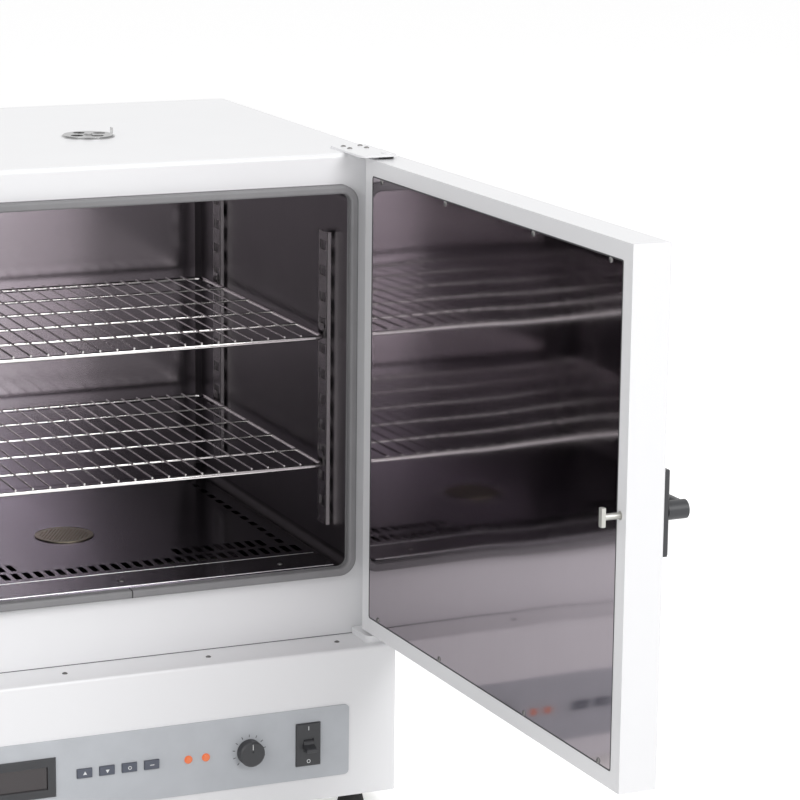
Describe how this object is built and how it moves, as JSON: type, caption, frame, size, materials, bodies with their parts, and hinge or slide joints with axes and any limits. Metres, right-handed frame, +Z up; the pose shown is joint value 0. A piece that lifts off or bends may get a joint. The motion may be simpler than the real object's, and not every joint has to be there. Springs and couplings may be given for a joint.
{
  "type": "bench drying oven",
  "caption": "Box-shaped bench drying oven with a side-hinged insulated door, sliding wire shelves, a slotted floor plate and a turning roof vent over a control box on levelling feet.",
  "frame": {"origin": "on the floor under the oven, midway between its sides and midway between the closed door's front and the back panel", "axes": "+X to the right seen from the door's side, +Y from the door into the oven, +Z up"},
  "size_m": [0.7662, 1.3368, 0.8808],
  "materials": {
    "white_paint": "satin",
    "stainless": "polished",
    "stainless_bright": "satin",
    "plated_wire": "polished",
    "plated_screw": "satin",
    "silicone": "matte",
    "black_rubber": "matte",
    "wool": "matte",
    "grey_plastic": "matte",
    "dark_plastic": "satin",
    "black_nylon": "satin",
    "display_pane": "gloss",
    "key_cap": "matte",
    "lamp_lens": "gloss",
    "board_green": "satin",
    "heater_sheath": "matte",
    "intake_steel": "satin",
    "zinc": "satin",
    "aluminium": "satin"
  },
  "bodies": {
    "cabinet": {"back_panel": "white_paint", "base_plate": "zinc", "board_spacers": "black_nylon", "breaker_body": "dark_plastic", "cabinet_screws": "plated_screw", "chamber_insulation": "wool", "chamber_tank": "stainless", "control_board": "board_green", "control_fascia": "grey_plastic", "cord_gland": "dark_plastic", "display_bezel": "dark_plastic", "display_window": "display_pane", "door_gasket": "silicone", "exhaust_duct": "stainless_bright", "exhaust_plate": "stainless_bright", "exhaust_rivet": "stainless_bright", "feet": "black_rubber", "floor_plate": "stainless", "heater_brackets": "zinc", "heater_elements": "heater_sheath", "hinge_bottom_pin": "zinc", "hinge_bottom_plate": "white_paint", "hinge_top_arm": "white_paint", "hinge_top_pin": "zinc", "intake_duct": "stainless_bright", "intake_grille": "intake_steel", "latch_keeper": "zinc", "lower_housing": "white_paint", "outer_casing": "white_paint", "overheat_thermostat": "grey_plastic", "pilot_lamps": "lamp_lens", "relay_module": "aluminium", "shelf_clips_lower": "stainless_bright", "shelf_clips_upper": "stainless_bright", "shelf_post_left_front": "stainless_bright", "shelf_post_left_rear": "stainless_bright", "shelf_post_right_front": "stainless_bright", "shelf_post_right_rear": "stainless_bright", "sill_plate": "stainless", "temperature_probes": "stainless_bright", "terminal_block": "grey_plastic"},
    "door": {"door_shell": "white_paint", "door_inner_panel": "stainless", "door_insulation": "wool", "door_panel_screws": "plated_screw", "handle_rose": "dark_plastic", "hinge_bushes": "black_nylon"},
    "latch": {"handle_lever": "dark_plastic", "latch_spindle": "zinc"},
    "shelf_lower": {"wire_shelf_lower": "plated_wire"},
    "shelf_upper": {"wire_shelf_upper": "plated_wire"},
    "exhaust": {"exhaust_shutter": "stainless_bright"},
    "dial": {"overheat_dial": "dark_plastic"},
    "toggle": {"breaker_toggle": "dark_plastic"},
    "key_1": {"key_1": "key_cap"},
    "key_2": {"key_2": "key_cap"},
    "key_3": {"key_3": "key_cap"},
    "key_4": {"key_4": "key_cap"}
  },
  "joints": [
    {"name": "door_hinge", "type": "hinge", "parent": "cabinet", "child": "door", "pos_m": [0.3385, -0.298, 0.5705], "axis": [0, 0, 1], "range_deg": [-91.2, 58.8]},
    {"name": "latch_turn", "type": "hinge", "parent": "door", "child": "latch", "pos_m": [0.38016, -0.97378, 0.56], "axis": [0.9998, 0.0209, 0], "range_deg": [-90, 0]},
    {"name": "shelf_lower_slide", "type": "slide", "parent": "cabinet", "child": "shelf_lower", "axis": [0, -1, 0], "range_m": [0, 0.3]},
    {"name": "shelf_upper_slide", "type": "slide", "parent": "cabinet", "child": "shelf_upper", "axis": [0, -1, 0], "range_m": [0, 0.3]},
    {"name": "exhaust_turn", "type": "hinge", "parent": "cabinet", "child": "exhaust", "pos_m": [0.036, -0.0025, 0.87], "axis": [0, 0, 1], "range_deg": [-22, 23]},
    {"name": "dial_turn", "type": "hinge", "parent": "cabinet", "child": "dial", "pos_m": [0.14, -0.3255, 0.104], "axis": [0, 1, 0], "range_deg": [-135, 135]},
    {"name": "breaker_switch", "type": "hinge", "parent": "cabinet", "child": "toggle", "pos_m": [0.222, -0.3255, 0.104], "axis": [-1, 0, 0], "range_deg": [0, 40]},
    {"name": "key_1_press", "type": "slide", "parent": "cabinet", "child": "key_1", "axis": [0, 1, 0], "range_m": [0, 0.0012], "stiffness_N_per_m": 350},
    {"name": "key_2_press", "type": "slide", "parent": "cabinet", "child": "key_2", "axis": [0, 1, 0], "range_m": [0, 0.0012], "stiffness_N_per_m": 350},
    {"name": "key_3_press", "type": "slide", "parent": "cabinet", "child": "key_3", "axis": [0, 1, 0], "range_m": [0, 0.0012], "stiffness_N_per_m": 350},
    {"name": "key_4_press", "type": "slide", "parent": "cabinet", "child": "key_4", "axis": [0, 1, 0], "range_m": [0, 0.0012], "stiffness_N_per_m": 350}
  ]
}
